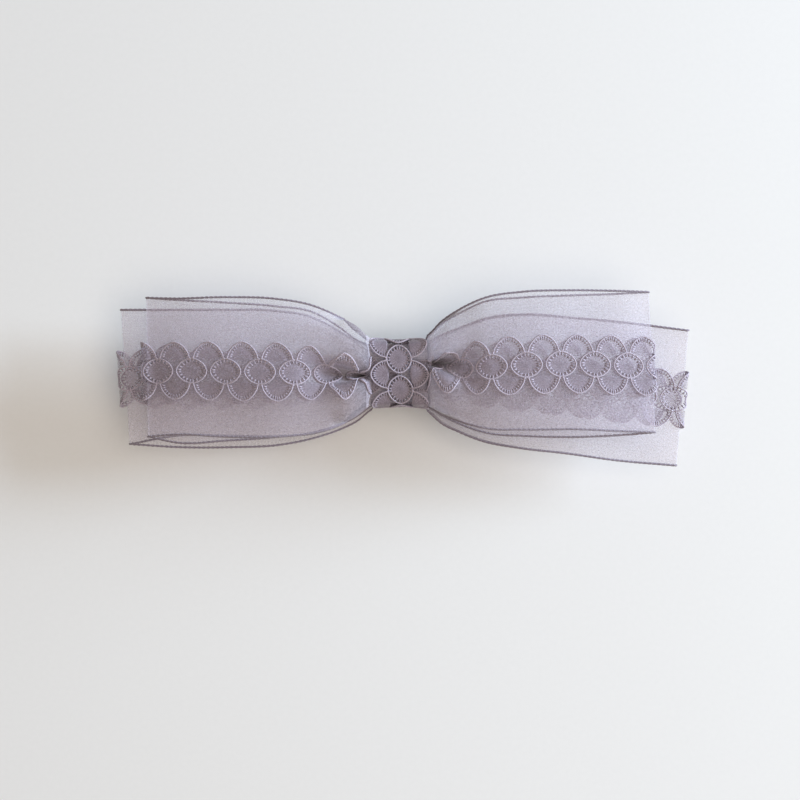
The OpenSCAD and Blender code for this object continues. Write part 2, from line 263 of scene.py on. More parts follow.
class Nodes:
    """A material's node tree, with short calls for the nodes that the finishes share."""

    def __init__(self, name: str) -> None:
        """Starts an empty material of that name."""
        self.material = bpy.data.materials.new(name)
        self.material.use_nodes = True
        self.tree = self.material.node_tree
        self.tree.nodes.clear()

    def add(self, kind: str, **values: object) -> bpy.types.Node:
        """A node, with values set on its inputs by name and, where no input has it, on its properties."""
        node = self.tree.nodes.new(kind)
        for key, value in values.items():
            label = key.replace("_", " ")
            if label in node.inputs:
                node.inputs[label].default_value = value
            else:
                setattr(node, key, value)
        return node

    def link(self, source: Socket, target: Socket) -> None:
        """Joins an output to an input."""
        self.tree.links.new(source, target)

    def math(self, operation: str, *values: object) -> Socket:
        """A Math node on numbers or outputs."""
        node = self.add("ShaderNodeMath", operation=operation)
        for socket, value in zip(node.inputs, values):
            if isinstance(value, (int, float)):
                socket.default_value = value
            else:
                self.link(value, socket)
        return node.outputs[0]

    def attribute(self, name: str, output: str = "Vector") -> Socket:
        """An attribute of the piece's points."""
        node = self.add("ShaderNodeAttribute")
        node.attribute_name = name
        return node.outputs[output]

    def noise(
        self, vector: Socket | None, stretch: tuple, detail: float = 2.0,
    ) -> Socket:
        """Noise of about 0.5, stretched by a factor for each axis of the vector."""
        mapping = self.add("ShaderNodeMapping", Scale=stretch)
        if vector is None:
            vector = self.add("ShaderNodeTexCoord").outputs["Object"]
        self.link(vector, mapping.inputs["Vector"])
        texture = self.add("ShaderNodeTexNoise", Scale=1.0, Detail=detail)
        self.link(mapping.outputs["Vector"], texture.inputs["Vector"])
        return texture.outputs["Fac"]

    def bump(self, height: Socket, strength: float, distance: float) -> Socket:
        """A bumped normal."""
        node = self.add("ShaderNodeBump", Strength=strength, Distance=distance)
        self.link(height, node.inputs["Height"])
        return node.outputs["Normal"]

    def ramp(self, factor: Socket, dark: tuple, light: tuple) -> Socket:
        """A colour between dark and light."""
        node = self.add("ShaderNodeMix", data_type="RGBA")
        node.inputs[6].default_value = (*dark, 1)
        node.inputs[7].default_value = (*light, 1)
        self.link(factor, node.inputs[0])
        return node.outputs[2]

    def principled(
        self, colour: Socket, normal: Socket | None = None, **values: float,
    ) -> bpy.types.Node:
        """A Principled shader of a colour, with its normal and values for its other inputs."""
        node = self.add("ShaderNodeBsdfPrincipled", **values)
        self.link(colour, node.inputs["Base Color"])
        if normal is not None:
            self.link(normal, node.inputs["Normal"])
        return node

    def blend(
        self, share: Socket, first: bpy.types.Node, second: bpy.types.Node,
    ) -> bpy.types.Node:
        """A shader that turns from the first to the second as share goes from 0 to 1."""
        node = self.add("ShaderNodeMixShader")
        for source, target in zip((share, first.outputs[0], second.outputs[0]), node.inputs):
            self.link(source, target)
        return node

    def output(self, shader: bpy.types.Node) -> bpy.types.Material:
        """Ends the tree with a shader and returns the material."""
        node = self.add("ShaderNodeOutputMaterial")
        self.link(shader.outputs[0], node.inputs["Surface"])
        return self.material


@dataclass(frozen=True)
class Organza:
    """Sheer plain weave of shiny filaments: see-through between its threads, and painted darker where it is
    pleated, as shade.
    """

    name: str
    dark: tuple = (0.60, 0.535, 0.62)
    light: tuple = (0.82, 0.755, 0.85)
    pitch: float = 0.40
    cover: float = 0.22
    cover_swing: float = 0.12
    through: float = 0.4

    def material(self) -> bpy.types.Material:
        """Threads both ways, slubs along them, sparkle where they cross."""
        n = Nodes(self.name)
        laid = n.attribute("laid")
        split = n.add("ShaderNodeSeparateXYZ")
        n.link(laid, split.inputs[0])
        waves = [
            n.math("SINE", n.math("MULTIPLY", split.outputs[axis], TAU / self.pitch)) for axis in (0, 1)
        ]
        weave = n.math("MAXIMUM", *waves)
        slub_along = n.noise(laid, (0.12, 2.4, 1.0))
        slub_across = n.noise(laid, (2.4, 0.2, 1.0))
        slubs = n.math("MULTIPLY_ADD", slub_across, 0.5, slub_along)
        cover = n.math("MULTIPLY_ADD", weave, self.cover_swing, self.cover - 0.17)
        cover = n.math("MULTIPLY_ADD", slubs, 0.2, cover)
        sparkle = n.noise(laid, (1.5, 2.1, 1.0), 3.0)
        grain = n.math("MULTIPLY_ADD", sparkle, 3.4, -1.2)
        cover = n.math("MULTIPLY_ADD", grain, 0.1, cover)
        layers = n.attribute("layers", "Fac")
        gaps = n.math("POWER", n.math("SUBTRACT", 1.0, cover), layers)
        cover = n.math("SUBTRACT", 1.0, gaps)
        # painted shade: the colour falls with the pleat count, for the shade deep in gathers and in the
        # crease beside the knot
        pleat_shade = n.add("ShaderNodeVectorMath", operation="SCALE")
        n.link(n.ramp(grain, self.dark, self.light), pleat_shade.inputs[0])
        n.link(n.math("POWER", n.attribute("pleats", "Fac"), -PLEAT_SHADE_POWER), pleat_shade.inputs["Scale"])
        colour = pleat_shade.outputs[0]
        normal = n.bump(n.math("ADD", weave, sparkle), 0.25, 0.0001)
        thread = n.principled(colour, normal, Roughness=0.42, Sheen_Weight=0.35, Sheen_Roughness=0.4)
        behind = n.add("ShaderNodeBsdfTranslucent")
        n.link(colour, behind.inputs["Color"])
        n.link(normal, behind.inputs["Normal"])
        lit = n.blend(n.math("DIVIDE", self.through, layers), thread, behind)
        return n.output(n.blend(cover, n.add("ShaderNodeBsdfTransparent"), lit))


@dataclass(frozen=True)
class Yarn:
    """Twisted or stitched thread: matt, with its turns and a little fuzz."""

    name: str
    dark: tuple
    light: tuple
    turn: float = 0.5
    roughness: float = 0.75
    sheen: float = 0.35
    sheer: bool = False

    def material(self) -> bpy.types.Material:
        """Turns along the thread, stitch lines, and the tone attribute, which holds painted light: raised
        cords painted lighter as a highlight, pad grooves and pleated places painted darker as shade.
        """
        n = Nodes(self.name)
        laid = n.attribute("laid")
        tone = n.attribute("tone", "Fac")
        split = n.add("ShaderNodeSeparateXYZ")
        n.link(laid, split.inputs[0])
        slant = n.math("ADD", split.outputs[0], split.outputs[1])
        turns = n.math("SINE", n.math("MULTIPLY", slant, TAU / self.turn))
        fuzz = n.noise(laid, (4.0, 4.0, 4.0))
        mix = n.math("MULTIPLY_ADD", turns, 0.12, n.math("MULTIPLY_ADD", fuzz, 1.7, -0.35))
        # painted highlight and painted shade: the tone of the points scales the colour
        mix = n.math("MULTIPLY", mix, tone)
        colour = n.ramp(mix, self.dark, self.light)
        normal = n.bump(n.math("MULTIPLY_ADD", turns, 0.5, fuzz), 0.5, 0.0001)
        thread = n.principled(
            colour, normal, Roughness=self.roughness, Sheen_Weight=self.sheen, Sheen_Roughness=0.5)
        if self.sheer:
            thread = n.blend(n.attribute("dense", "Fac"), n.add("ShaderNodeBsdfTransparent"), thread)
        return n.output(thread)


@dataclass(frozen=True)
class Metal:
    """Plated or tempered steel strip with fine rolling lines along it."""

    name: str
    colour: tuple
    roughness: float

    def material(self) -> bpy.types.Material:
        """Rolling lines as a faint bump and a change in gloss."""
        n = Nodes(self.name)
        lines = n.noise(None, (60.0, 2500.0, 2500.0), 3.0)
        patches = n.noise(None, (180.0, 180.0, 180.0), 2.0)
        worn = tuple(0.82 * c for c in self.colour)
        steel = n.principled(n.ramp(patches, worn, self.colour), n.bump(lines, 0.15, 0.00005), Metallic=1.0)
        n.link(n.math("MULTIPLY_ADD", lines, 0.25, self.roughness - 0.12), steel.inputs["Roughness"])
        return n.output(steel)


@dataclass(frozen=True)
class Glue:
    """Set hot glue: cloudy, with a soft gloss."""

    name: str
    colour: tuple = (0.72, 0.68, 0.58)

    def material(self) -> bpy.types.Material:
        """Cloudy colour and a faintly uneven skin."""
        n = Nodes(self.name)
        cloud = n.noise(None, (900.0, 900.0, 900.0))
        cloudy = n.ramp(cloud, tuple(0.8 * c for c in self.colour), self.colour)
        skin = n.bump(cloud, 0.2, 0.0002)
        return n.output(n.principled(cloudy, skin, Roughness=0.28, Subsurface_Weight=0.3))


# ---- ribbons


class Side(Enum):
    """Which side of the knot a loop lies on."""

    LEFT = -1
    RIGHT = 1


@dataclass(frozen=True)
class Face:
    """One face of a loop, given at the ring's stations and at the fold. Lengths in millimetres.

    upper and lower are where its two edges lie across the bow, height is how high its ridge stands over
    the table, and drop is how much lower its edges lie. neck is the ridge's height under the knot's wrap.
    tuck is how far the edges roll under beside the knot, as a share of half the face's width.
    """

    upper: tuple
    lower: tuple
    height: tuple
    drop: tuple
    neck: float
    tuck: float = 0.0


@dataclass(frozen=True)
class Loop:
    """One loop: its faces, how far its fold's middle reaches, and the crease beside the knot.

    lean is how far the fold's upper corner reaches past its lower one. The crease is a V, crease_w wide
    to each side at the knot, that has opened out at crease_end. Above the wrap the loop bulges back over
    it by up to bulge.
    """

    side: Side
    reach: float
    lean: float
    top: Face
    under: Face
    crease_y: float
    crease_w: float
    crease_end: float
    bulge: float = 0.0


@dataclass
class RibbonRing:
    """One ribbon, joined into a ring and pinched at the knot so that it gives two loops.

    Lengths are in millimetres. The knot's wrap ends at knot_half, where a loop rises to its height within
    swell. Half its width is held to waist under the wrap and freed between waist_ends. The crease beside
    the knot is up to valley deep and opens to open_w; the cloth beside it humps by hump and is drawn over
    it by the share lip. wander is the height of the slow waves in the cloth, and crease_layers_and_shade is
    how many more layers its pleats are counted as laying over one another for each millimetre that they
    sink: partly the real gather in the crease, and partly painted shade, since the count darkens the colour.
    """

    name: str
    left: Loop
    right: Loop
    width: float = 38.0
    fold_r: float = 0.45
    stations: tuple = (0.0, 7.9, 12.0, 17.0, 24.0, 34.0, 48.0, 62.0)
    knot_half: float = 7.9
    valley: float = 9.4
    step: float = 0.5
    near_step: float = 0.14
    near: tuple = (7.6, 11.4)
    swell: float = 6.5
    wrap_top: float = 21.8
    waist: float = 8.3
    waist_ends: tuple = (6.8, 14.0)
    freed: float = 30.0
    hump: float = 1.5
    lip: float = 0.15
    open_w: float = 10.5
    slack_w: float = 2.2
    columns: int = 77
    butt: float = 0.5
    wander: float = 0.22
    crease_layers_and_shade: float = 2.5
    seed: float = 0.0
    cloth: Cloth = field(init=False)
    join: int = field(init=False)

    def __post_init__(self) -> None:
        """Works out the ring's surface."""
        right = self.half(self.right)[::-1]
        left = self.half(self.left)
        self.join = len(right) - 1
        self.cloth = Cloth(np.concatenate([right, left[1:]]), self.width)
        points = self.cloth.points
        level = np.maximum(np.linalg.norm(np.diff(points[..., 1:], axis=1), axis=2).sum(axis=1), 1)
        sunk = points[:, 4:-4, 2].max(axis=1)[:, None] - points[..., 2]
        # painted shade: the pleat count grows with how far the cloth sinks below its ridge, so the crease is
        # painted darker; it also raises the layers that the cover counts
        pleats = (self.width / level)[:, None] + self.crease_layers_and_shade * np.maximum(sunk - 3.5, 0)
        self.cloth.pleats = np.where(np.abs(points[..., 0]) > 0.8 * self.left.reach, 1, pleats)

    def repeats(self, run: Array, pitch: float, left_at: float, right_at: float) -> Array:
        """Where along a trim on the ring its medallions lie.

        Args:
            run: The trim's own distance at each of the ring's rows.
            pitch: Length of a repeat.
            left_at: How far from the knot a medallion lies on the left loop's upper face.
            right_at: The same for the right loop.

        Returns:
            Their distances along the trim, for both loops.
        """
        x, knot = self.cloth.points[:, self.columns // 2, 0], run[self.join]
        out = slice(self.join, self.join + len(self.rows(self.left)))
        left = np.interp(left_at, -x[out], run[out])
        back = slice(self.join, self.join - len(self.rows(self.right)), -1)
        right = np.interp(right_at, x[back], run[back])
        steps = pitch * np.arange(-40, 40)
        left, right = left + steps, right + steps
        left = left[(left > knot + 1) & (left < run[-1] - pitch - 0.3)]
        right = right[(right > 0.55 * pitch) & (right < knot - 0.4 * pitch)]
        return np.concatenate([right, left])

    def rows(self, loop: Loop) -> Array:
        """Distances from the knot of a face's rows, which are closer together where it leaves the wrap."""
        end, (low, high) = loop.reach - self.fold_r, self.near
        return np.concatenate([
            np.linspace(0.0, low, int(low / self.step), endpoint=False),
            np.linspace(low, high, int((high - low) / self.near_step), endpoint=False),
            np.linspace(high, end, int((end - high) / self.step) + 1)])

    def slack(self, left: float, right: float) -> tuple:
        """How a trim that is looser than the ribbon passes round the folds.

        It stands off by a bell curve round each fold, and its own distances are those along that curve.

        Args:
            left: Its stand-off at the left fold.
            right: Its stand-off at the right fold.

        Returns:
            Its stand-off and its own distance, at each of the ring's rows.
        """
        run, middle, bend = self.cloth.run, self.columns // 2, 5
        off = 0
        for peak, loop, way in ((left, self.left, 1), (right, self.right, -1)):
            fold = run[self.join + way * (len(self.rows(loop)) + bend)]
            off = off + peak * np.exp(-(((run - fold) / self.slack_w) ** 2))
        line = self.cloth.points[:, middle] + off[:, None] * self.cloth.normals[:, middle]
        steps = np.linalg.norm(np.diff(line, axis=0), axis=1)
        return off, np.concatenate([[0.0], np.cumsum(steps)])

    def face(self, loop: Loop, shape: Face, deep: float) -> Array:
        """One face of a loop from the knot to the start of its fold.

        Each row is a cross-section: a ridge that falls away to its edges, less a V-shaped crease whose
        depth is what makes the section as long as the ribbon is wide. The columns are spaced by equal
        lengths of that section, so the cloth is bent and not stretched.

        Args:
            loop: The loop.
            shape: The face.
            deep: The deepest that its crease may be.

        Returns:
            Rows by columns of points.
        """
        x = self.rows(loop)
        at = (*self.stations, loop.reach)
        top, low, ridge, drop = (
            through(at, (values[0], *values), x)
            for values in (shape.upper, shape.lower, shape.height, shape.drop))
        widest = self.waist + self.freed * ease(*self.waist_ends, x)
        top, low = np.minimum(top, widest), np.maximum(low, -widest)
        half, mid = (top - low)[:, None] / 2, (top + low)[:, None] / 2
        out = np.maximum(x - self.knot_half, 0)
        back = 1 - np.clip(out / self.swell, 0, 1)
        ridge = shape.neck + (ridge - shape.neck) * np.sqrt(1 - back**2)

        eta = np.linspace(-1, 1, 401)[None, :]
        opened = ease(self.knot_half, loop.crease_end, x)
        wide = (loop.crease_w + (self.open_w - loop.crease_w) * opened)[:, None]
        t = (mid + half * eta - loop.crease_y) / wide
        inside = 1 - np.sqrt(t * t + 0.05)
        notch = (inside + np.sqrt(inside**2 + 0.04)) / 2
        hump = min(self.hump, deep / 3) * (ease(24, 11, x) * np.sqrt(1 - back**2))[:, None]
        share = t / np.where(t > 0, (mid + half - loop.crease_y) / wide, (mid - half - loop.crease_y) / wide)
        swollen = hump * (1 - np.sqrt(np.clip(4 * share * (1 - share), 0, 1)))
        edges = drop[:, None] * np.abs(eta) ** 2.6 + swollen
        depths = np.linspace(0, deep, 14)[:, None, None]
        sections = -depths * notch[None] - edges[None]
        dy = half * (eta[0, 1] - eta[0, 0])
        spans = np.sqrt(dy[None] ** 2 + np.diff(sections, axis=2) ** 2).sum(axis=2)
        depth = np.array([np.interp(self.width, spans[:, i], depths[:, 0, 0]) for i in range(len(x))])
        held = ease(self.knot_half + 2.4, self.knot_half - 0.5, x)
        depth = depth * (1 - held) + min(deep, 1.5) * held
        depth = np.minimum(depth, deep - hump[:, 0])
        depth = depth * (1 - ease(0.5 * loop.crease_end, 1.1 * loop.crease_end, x))
        tuck = (shape.tuck * ease(self.knot_half + 12.0, self.knot_half + 4.0, x))[:, None]
        section = -depth[:, None] * notch - edges - 0.45 * half * tuck * ease(0.7, 1.0, np.abs(eta))

        pieces = np.sqrt(dy**2 + np.diff(section, axis=1) ** 2)
        run = np.concatenate([np.zeros((len(x), 1)), np.cumsum(pieces, axis=1)], axis=1)
        run = 2 * run / run[:, -1:] - 1
        v = np.linspace(-1, 1, self.columns)
        y = np.array([np.interp(v, run[i], eta[0]) for i in range(len(x))])
        y = y - np.sign(y) * tuck * ease(0.72, 1.0, np.abs(y)) ** 2
        y = y / np.abs(y).max(axis=1, keepdims=True) * half + mid - loop.crease_y
        pull = self.lip * ease(24, 13, x)[:, None] * np.exp(-(((np.abs(y / wide) - 0.9) / 0.45) ** 2))
        y = y * (1 - pull) + loop.crease_y
        z = np.array([np.interp(v, run[i], section[i]) for i in range(len(x))]) + ridge[:, None]

        z = z + self.unevenness(loop, x, v)
        flat_x = x[:, None] + loop.lean / 2 * v[None, :] * (x / loop.reach)[:, None]
        over = ease(self.wrap_top, self.wrap_top + 2.2, z) * ease(16.0, 9.0, x)[:, None]
        flat_x = flat_x - loop.bulge * over * ease(-0.1, 0.25, v)
        return np.stack([loop.side.value * flat_x, y, z], axis=-1)

    def unevenness(self, loop: Loop, x: Array, v: Array) -> Array:
        """What gathering and wear add to a face's height.

        Ripples across the ribbon die out from the knot, and two slow waves slant over the flat of the loop.

        Args:
            loop: The loop.
            x: Distances from the knot of the face's rows.
            v: Places across the ribbon of its columns, from -1 to 1.

        Returns:
            Heights, rows by columns.
        """
        out, end = np.maximum(x - self.knot_half, 0), loop.reach - self.fold_r
        ripple = np.exp(-out / 8.0) * np.clip(out / 3.0, 0, 1)
        gathers = 0.2 * ripple[:, None] * np.cos(11.5 * math.pi * v + self.seed + loop.side.value)
        calm = (ease(9, 26, x) * (1 - ease(0.85 * end, end, x)))[:, None]
        phase = self.seed + 2.1 * loop.side.value
        slow = np.sin(x[:, None] / 7.3 + 1.7 * v + phase)
        short = np.sin(x[:, None] / 3.9 - 2.6 * v + 2 * phase)
        return gathers + self.wander * calm * (slow + 0.6 * short)

    def half(self, loop: Loop) -> Array:
        """One loop: out along its upper face, half a turn round the fold, and back along its lower face."""
        upper = self.face(loop, loop.top, self.valley)
        lower = self.face(loop, loop.under, 1.4)
        mid = (upper[-1] + lower[-1]) / 2
        turn = np.linspace(math.pi / 2, -math.pi / 2, 11)[1:-1, None]
        fold = np.broadcast_to(mid, (turn.size, *mid.shape)).copy()
        fold[..., 0] += loop.side.value * self.fold_r * np.cos(turn)
        fold[..., 2] += (upper[-1, :, 2] - lower[-1, :, 2]) / 2 * np.sin(turn)
        keep = np.abs(lower[:, 0, 0]) >= self.butt
        return np.concatenate([upper, fold, lower[keep][::-1]])

    def build(self, place: Place, material: bpy.types.Material) -> bpy.types.Object:
        """The sheet of organza, with each point's place on the flat cloth."""
        rows, cols = self.cloth.points.shape[:2]
        along = np.broadcast_to(self.cloth.run[:, None], (rows, cols))
        across = np.broadcast_to(np.linspace(-0.5, 0.5, cols) * self.width, (rows, cols))
        laid = np.stack([along, across, np.zeros((rows, cols))], axis=-1).reshape(-1, 3)
        quads = grid_quads(rows, cols)
        pleats = self.cloth.pleats
        layers = np.where(pleats > 1, pleats / np.clip(np.abs(self.cloth.normals[..., 2]), 0.4, 1), 1)
        piece = new_piece(
            self.name, place.metres(self.cloth.points), quads, material, laid, layers=layers, pleats=pleats)
        sew_on(piece, "organza", self.name.replace("_organza", "_ribbon"))
        return piece


def tube(
    path: Array, up: Array, out: Array, radius: float,
    twist: float = 1.0, lobe: float = 0.2, sides: int = 8, closed: bool = False,
) -> tuple:
    """A thread: a tube whose section has two lobes, for its plies, and turns once in each twist.

    At angle a round it and distance s along it, its radius is radius (1 + lobe cos(2a - 2 pi s / twist)).

    Args:
        path: Points of its middle.
        up: For each point, a direction across the thread.
        out: For each point, the direction across both.
        radius: Its mean radius.
        twist: Length of one turn.
        lobe: How far the lobes stand out, as a share of the radius.
        sides: An even number of points round it.
        closed: Whether its end joins its start.

    Returns:
        Points, quads and thread coordinates.
    """
    steps = np.linalg.norm(np.diff(path, axis=0), axis=1)
    run = np.concatenate([[0.0], np.cumsum(steps)])[:, None]
    angle = np.linspace(0, TAU, sides, endpoint=False)[None, :]
    lobes = radius * (1 + lobe * np.cos(2 * angle - TAU * run / twist))
    ring = np.cos(angle)[..., None] * up[:, None] + np.sin(angle)[..., None] * out[:, None]
    points = (path[:, None] + lobes[..., None] * ring).reshape(-1, 3)
    laid = np.stack([run + 0 * angle, angle * radius + 0 * run, 0 * lobes], axis=-1)
    return points, tube_quads(len(path), sides, closed), laid.reshape(-1, 3)


def thread_piece(
    name: str, node: str, place: Place, material: bpy.types.Material,
    points: Array, quads: Array, laid: Array,
) -> bpy.types.Object:
    """A thread of one tone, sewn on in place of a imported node.

    Args:
        name: The piece's name.
        node: The node it replaces.
        place: The knot's place.
        material: Its material.
        points: Its points, in millimetres from the knot.
        quads: Point numbers, four to a face.
        laid: Its thread coordinates.

    Returns:
        The piece.
    """
    piece = new_piece(name, place.metres(points), quads, material, laid, tone=np.ones(len(points)))
    sew_on(piece, "thread", node)
    return piece


@dataclass(frozen=True)
class BoundEdge:
    """The two-ply thread that binds one edge of a ribbon."""

    name: str
    side: int
    radius: float = 0.29
    twist: float = 1.3
    spacing: float = 0.2

    def build(self, cloth: Cloth, place: Place, material: bpy.types.Material) -> bpy.types.Object:
        """A thread along the edge, its middle just outside the cloth."""
        along = np.linspace(0, cloth.length, int(cloth.length / self.spacing))
        edge = np.full(along.size, self.side * cloth.width / 2)
        up = unit(cloth.sample(cloth.normals, along, edge))
        out = unit(cloth.sample(cloth.across, along, edge))
        path = cloth.sample(cloth.points, along, edge) + 0.6 * self.radius * self.side * out
        node = self.name.replace("_thread", "")
        return thread_piece(self.name, node, place, material, *tube(path, up, out, self.radius, self.twist))


# ---- lace


@dataclass
class Stitchwork:
    """Parts of a lace motif as points laid flat, quads, thread coordinates and tones, which hold painted
    highlight and painted shade.
    """

    points: list = field(default_factory=list)
    quads: list = field(default_factory=list)
    laid: list = field(default_factory=list)
    tones: list = field(default_factory=list)
    dense: list = field(default_factory=list)
    count: int = 0

    def add(
        self, points: Array, quads: Array, laid: Array,
        tone: float | Array, dense: float = 1.0,
    ) -> None:
        """Adds a closed part, whose quads number its points from 0, with its faces turned outward.

        Which way they face is the sign of the part's volume, the sum of a . (b x c) / 6 over its triangles.
        """
        points = points.reshape(-1, 3)
        a, b, c, d = np.moveaxis(points[quads], 1, 0)
        if (np.cross(a, b) * c + np.cross(a, c) * d).sum() < 0:
            quads = quads[:, ::-1]
        self.points.append(points)
        self.quads.append(quads + self.count)
        self.laid.append(laid.reshape(-1, 3))
        self.tones.append(np.broadcast_to(tone, len(points)))
        self.dense.append(np.full(len(points), dense))
        self.count += len(points)

    def cord(self, path: Array, radius: float, height: float, closed: bool, tone: float) -> None:
        """A round cord along a flat path.

        Args:
            path: Points of its middle, along and across.
            radius: Its radius.
            height: Height of its middle over the cloth.
            closed: Whether the path's end joins its start.
            tone: Its tone.
        """
        ahead = np.roll(path, -1, axis=0) - np.roll(path, 1, axis=0) if closed else np.gradient(path, axis=0)
        ahead = unit(ahead)
        side = np.stack([-ahead[:, 1], ahead[:, 0], 0 * ahead[:, 0]], axis=-1)
        up = np.broadcast_to([0.0, 0.0, 1.0], side.shape)
        middle = np.insert(path, 2, height, axis=1)
        self.add(*tube(middle, side, up, radius, lobe=0.0, sides=6, closed=closed), tone)

    def bars(self, start: Array, end: Array, radius: float, height: float, tone: float) -> None:
        """Straight square bars from start to end points, all at one height."""
        ahead = unit(end - start)
        side = radius * np.stack([-ahead[:, 1], ahead[:, 0]], axis=-1)
        flat = np.stack([start + side, start - side, end - side, end + side], axis=1)
        low = np.concatenate([flat, np.full((*flat.shape[:2], 1), height - radius)], axis=-1)
        high = np.concatenate([flat, np.full((*flat.shape[:2], 1), height + radius)], axis=-1)
        points = np.concatenate([low, high], axis=1)
        box = np.array([[0, 3, 2, 1], [4, 5, 6, 7], [0, 1, 5, 4], [1, 2, 6, 5], [2, 3, 7, 6], [3, 0, 4, 7]])
        quads = (box[None] + 8 * np.arange(len(start))[:, None, None]).reshape(-1, 4)
        self.add(points, quads[:, ::-1], points, tone)

    def rosette(
        self, rim: Array, heart: Array, thickness: float, height: float, tone: float, dense: float,
    ) -> None:
        """A domed pad of satin stitches that run from its heart to its rim, as ridges and grooves, the
        grooves painted darker than the ridges as shade.

        Args:
            rim: Its flat outline, an even number of points.
            heart: The flat point where the stitches meet.
            thickness: Half its thickness in the middle.
            height: Height of its rim over the cloth.
            tone: Its tone.
            dense: What share of the light each of its two skins stops.
        """
        share = np.array([0.08, 0.3, 0.5, 0.7, 0.87, 1.0])[:, None]
        groove = (np.arange(len(rim)) % 2)[None, :]
        flat = heart + share[..., None] * (rim - heart)
        swell = thickness * (1 - share**3) * (1 - 0.65 * groove * ease(0.1, 0.5, share))
        flat, swell = np.concatenate([flat, flat[-2::-1]]), np.concatenate([swell, -swell[-2::-1]])
        # painted shade: grooves darker than ridges; also darker towards the heart
        tones = tone * (1.32 - 0.62 * groove) * (0.72 + 0.28 * ease(0.1, 0.6, share))
        tones = np.concatenate([tones, tones[-2::-1]])
        points = np.concatenate([flat, height + swell[..., None]], axis=-1).reshape(-1, 3)
        self.add(points, tube_quads(*swell.shape), points, tones.ravel(), dense)


@dataclass(frozen=True)
class LaceTrim:
    """Openwork trim: a row of oval medallions, with scalloped petals along both sides between them.

    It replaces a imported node. Lengths are in millimetres, and arch and petal are widths and heights.
    """

    name: str
    node: str
    pitch: float = 9.55
    oval: tuple = (4.3, 3.45)
    cord_r: float = 0.22
    lift: float = 0.14
    # partly painted highlight: the raised cords are a little lighter than the pads, for the light they catch
    cord_tone: float = 1.2
    pad_tone: float = 1.15
    pad_dense: float = 0.22
    foot: float = 3.75
    arch: tuple = (4.2, 4.25)
    petal: tuple = (3.45, 3.3, 1.0)

    @staticmethod
    def curve(turn: Array, width: float, height: float, power: float) -> Array:
        """Points of |x/width|^power + |y/height|^power = 1, an ellipse at 2 and a rhombus at 1.

        Args:
            turn: Angles round it.
            width: Half its width.
            height: Half its height.
            power: How full its corners are.

        Returns:
            Flat points.
        """
        x, y = np.cos(turn), np.sin(turn)
        along, across = (np.sign(part) * np.abs(part) ** (2 / power) for part in (x, y))
        return np.stack([width * along, height * across], axis=-1)

    def motif(self) -> Stitchwork:
        """One repeat, with its medallion's middle at 0 along and its petals half a repeat further."""
        work = Stitchwork()
        ring = self.curve(np.linspace(0, TAU, 40, endpoint=False), *self.oval, 1.75)
        work.cord(ring, self.cord_r, self.cord_r + self.lift, True, self.cord_tone)
        work.rosette(0.8 * ring, np.zeros(2), 0.16, 0.2, self.pad_tone, self.pad_dense)
        spokes = ring[1::2]
        work.bars(0.7 * spokes, 0.98 * spokes, 0.2, 0.2, 0.9 * self.pad_tone)
        for side in (1, -1):
            self.scallop(work, side)
        return work

    def scallop(self, work: Stitchwork, side: int) -> None:
        """A petal: its outline cord, a pad of stitches that fan out, and the bars between them.

        The outline is an arch whose feet are drawn in to the nodes over the two medallions beside it.
        """
        flip = np.array([1, side])
        middle = np.array([self.pitch / 2, self.foot])
        arch = middle + self.curve(np.linspace(math.pi, 0, 25), *self.arch, 1.65)
        node = np.array([self.pitch / 2, 0.5])
        path = np.concatenate([[middle - node], arch, [middle + node * [1, -1]]])
        work.cord(path * flip, self.cord_r, self.cord_r + self.lift, False, self.cord_tone)
        turn = np.linspace(0, TAU, 36, endpoint=False)
        wide, high, low = self.petal
        rim = self.curve(turn, wide, high, 1.8)
        rim[:, 1] = np.where(rim[:, 1] > 0, rim[:, 1], rim[:, 1] * low / high) + 0.2
        heart = middle - [0, 0.3]
        work.rosette((middle + rim) * flip, heart * flip, 0.18, 0.2, self.pad_tone, self.pad_dense)
        fan = np.linspace(math.radians(4), math.radians(176), 15)
        inner = middle + [0, 0.2] + 0.85 * self.curve(fan, wide, high, 1.8)
        outer = middle + 0.97 * self.curve(fan, *self.arch, 1.65)
        work.bars(inner * flip, outer * flip, 0.18, 0.2, 0.9 * self.pad_tone)

    def build(
        self, cloth: Cloth, place: Place, material: bpy.types.Material, spots: Array,
        offset: float = 0.0, stretch: float = 1.0, slant: float = 0.0, slack: tuple | None = None,
    ) -> bpy.types.Object:
        """Repeats the motif along a cloth.

        Args:
            cloth: What it lies on.
            place: The knot's place.
            material: Its material.
            spots: Distances along the cloth of the medallions' middles.
            offset: How far the trim's middle lies from the cloth's.
            stretch: Length of a repeat on the cloth, over its flat length.
            slant: Shift across for each millimetre along, from the middle of the spots.
            slack: At each of the cloth's rows, the trim's stand-off and its own distance.

        Returns:
            The trim as one piece.
        """
        work = self.motif()
        points = np.concatenate(work.points)
        laid = np.broadcast_to(points, (len(spots), *points.shape)).copy()
        laid[..., 0] = laid[..., 0] * stretch + spots[:, None]
        laid[..., 1] += offset + slant * (laid[..., 0] - spots.mean())
        if slack is not None:
            off, run = slack
            laid[..., 0] = np.interp(laid[..., 0], run, cloth.run)
            laid[..., 2] += np.interp(laid[..., 0], cloth.run, off)
        laid = laid.reshape(-1, 3)
        # painted shade: the lace is darkened where the cloth under it is pleated, for the shade in gathers
        # and in the crease
        pleat_shade = cloth.sample(cloth.pleats[..., None], laid[:, 0], laid[:, 1])[:, 0] ** -PLEAT_SHADE_POWER
        quads = np.concatenate(work.quads)[:, ::-1]
        quads = (quads[None] + (len(points) * np.arange(len(spots)))[:, None, None]).reshape(-1, 4)
        piece = new_piece(
            self.name, place.metres(cloth.place(laid)), quads, material,
            np.tile(np.concatenate(work.laid), (len(spots), 1)),
            tone=np.tile(np.concatenate(work.tones), len(spots)) * pleat_shade,
            dense=np.tile(np.concatenate(work.dense), len(spots)))
        sew_on(piece, "lace", self.node)
        return piece


# ---- knot


